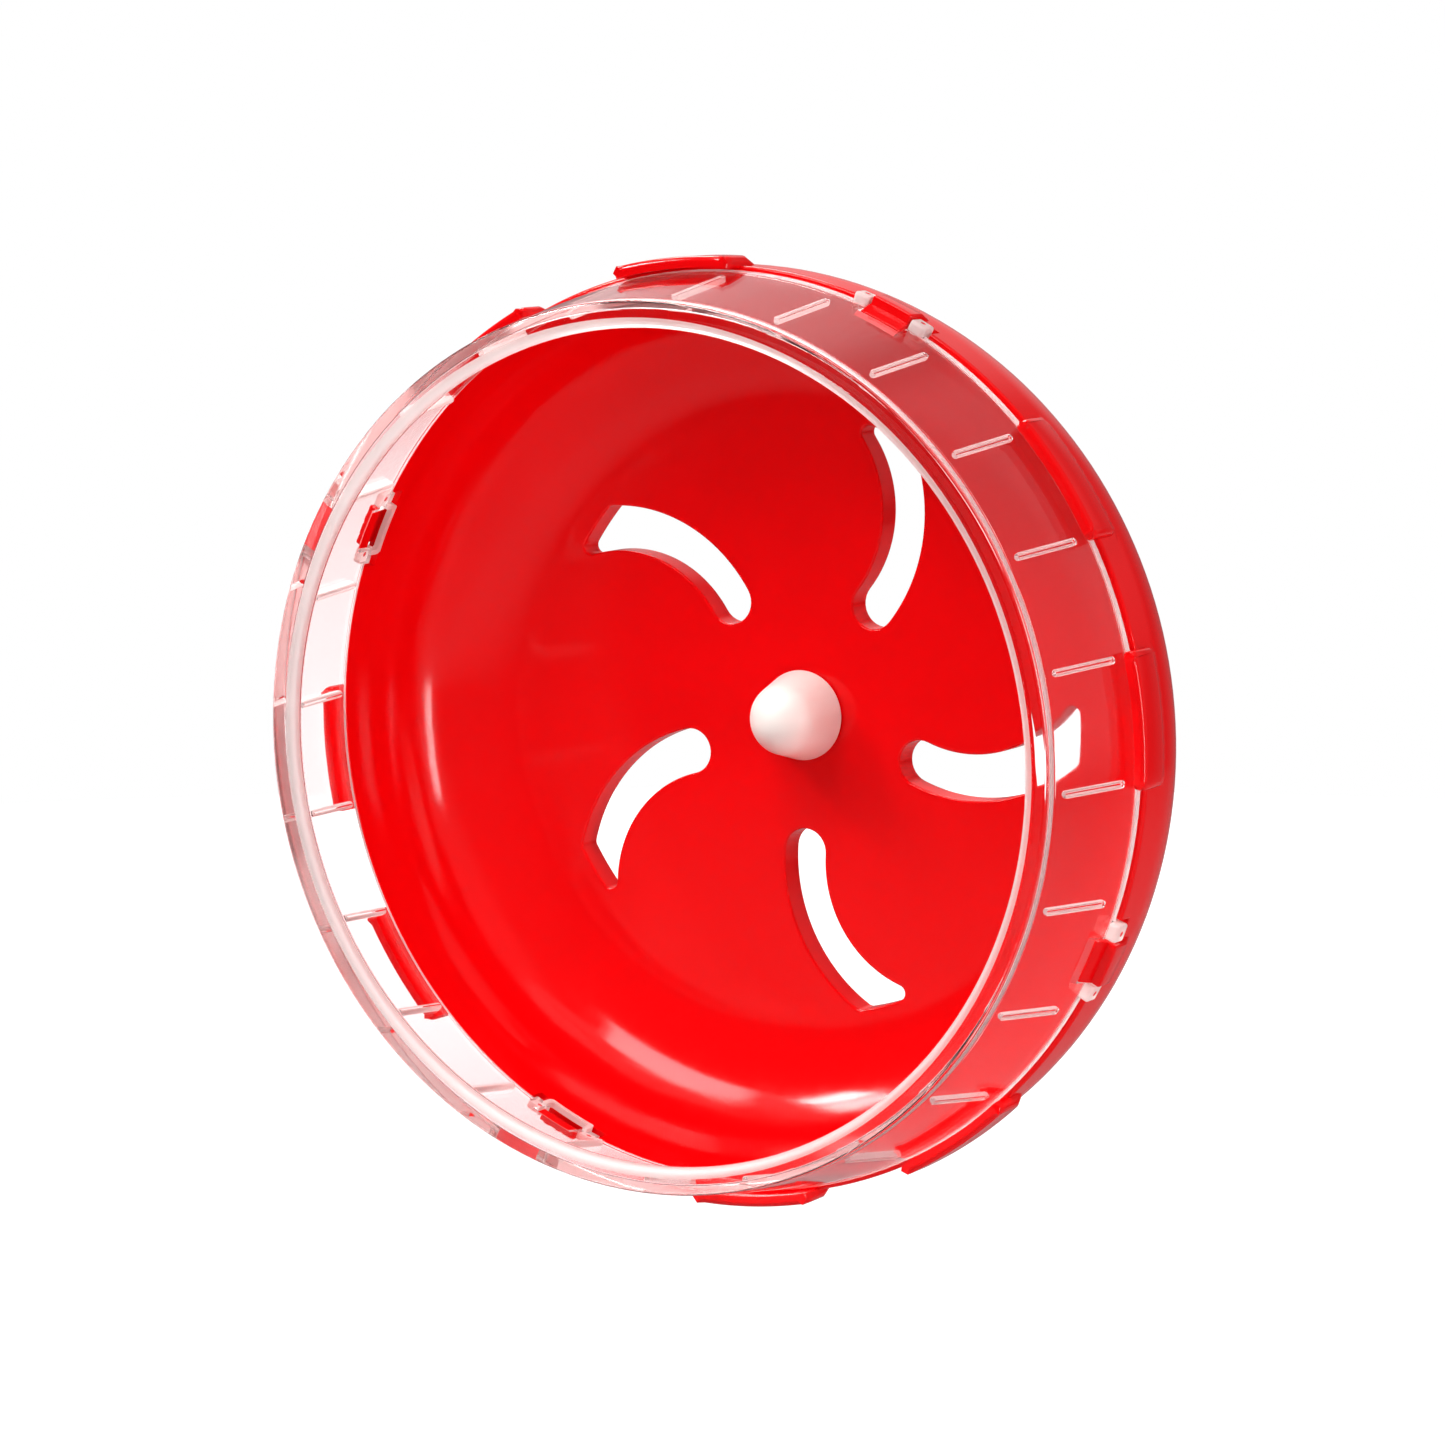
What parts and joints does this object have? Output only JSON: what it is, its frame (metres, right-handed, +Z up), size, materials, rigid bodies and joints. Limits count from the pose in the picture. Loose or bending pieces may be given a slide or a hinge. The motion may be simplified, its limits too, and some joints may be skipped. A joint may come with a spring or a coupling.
{
  "type": "hamster wheel",
  "caption": "Small running wheel for a pet rodent: a clear ribbed track ring snapped onto a red bowl that turns on a ball bearing about a short fixed rear axle.",
  "frame": {"origin": "centre of the rear seat, where the fixed collar's rear face lies against the cage panel", "axes": "+Y along the wheel's axis from the open front towards the cage panel, +Z up, +X to the right as seen from the open front"},
  "size_m": [0.14, 0.0794, 0.14],
  "materials": {
    "red_gloss_abs": "glossy injection-moulded ABS, saturated red",
    "clear_polystyrene": "polished clear injection-moulded polystyrene",
    "white_abs": "satin white injection-moulded ABS",
    "bearing_steel": "ground and polished bearing steel",
    "zinc_plated_steel": "bright zinc-plated steel",
    "natural_nylon": "natural off-white nylon"
  },
  "bodies": {
    "mount": {"axle_stud": "zinc_plated_steel", "front_spacer": "natural_nylon", "rear_spacer": "natural_nylon", "bearing_inner_race": "bearing_steel", "mount_collar": "white_abs", "panel_washer": "zinc_plated_steel", "mount_nut": "zinc_plated_steel"},
    "wheel": {"rear_bowl": "red_gloss_abs", "front_track_ring": "clear_polystyrene", "axle_cap": "white_abs", "bearing_outer_race": "bearing_steel", "bearing_front_shield": "zinc_plated_steel", "bearing_rear_shield": "zinc_plated_steel", "bearing_circlip": "bearing_steel"},
    "cage": {"bearing_cage": "natural_nylon", "bearing_ball_1": "bearing_steel", "bearing_ball_2": "bearing_steel", "bearing_ball_3": "bearing_steel", "bearing_ball_4": "bearing_steel", "bearing_ball_5": "bearing_steel", "bearing_ball_6": "bearing_steel", "bearing_ball_7": "bearing_steel"}
  },
  "joints": [
    {"name": "wheel_spin", "type": "hinge", "parent": "mount", "child": "wheel", "pos_m": [0, -0.0108, 0], "axis": [0, 1, 0], "continuous": true},
    {"name": "cage_spin", "type": "hinge", "parent": "mount", "child": "cage", "pos_m": [0, -0.0108, 0], "axis": [0, 1, 0], "continuous": true}
  ],
  "couplings": [
    {"joint": "cage_spin", "follows": "wheel_spin", "ratio": 0.627}
  ]
}
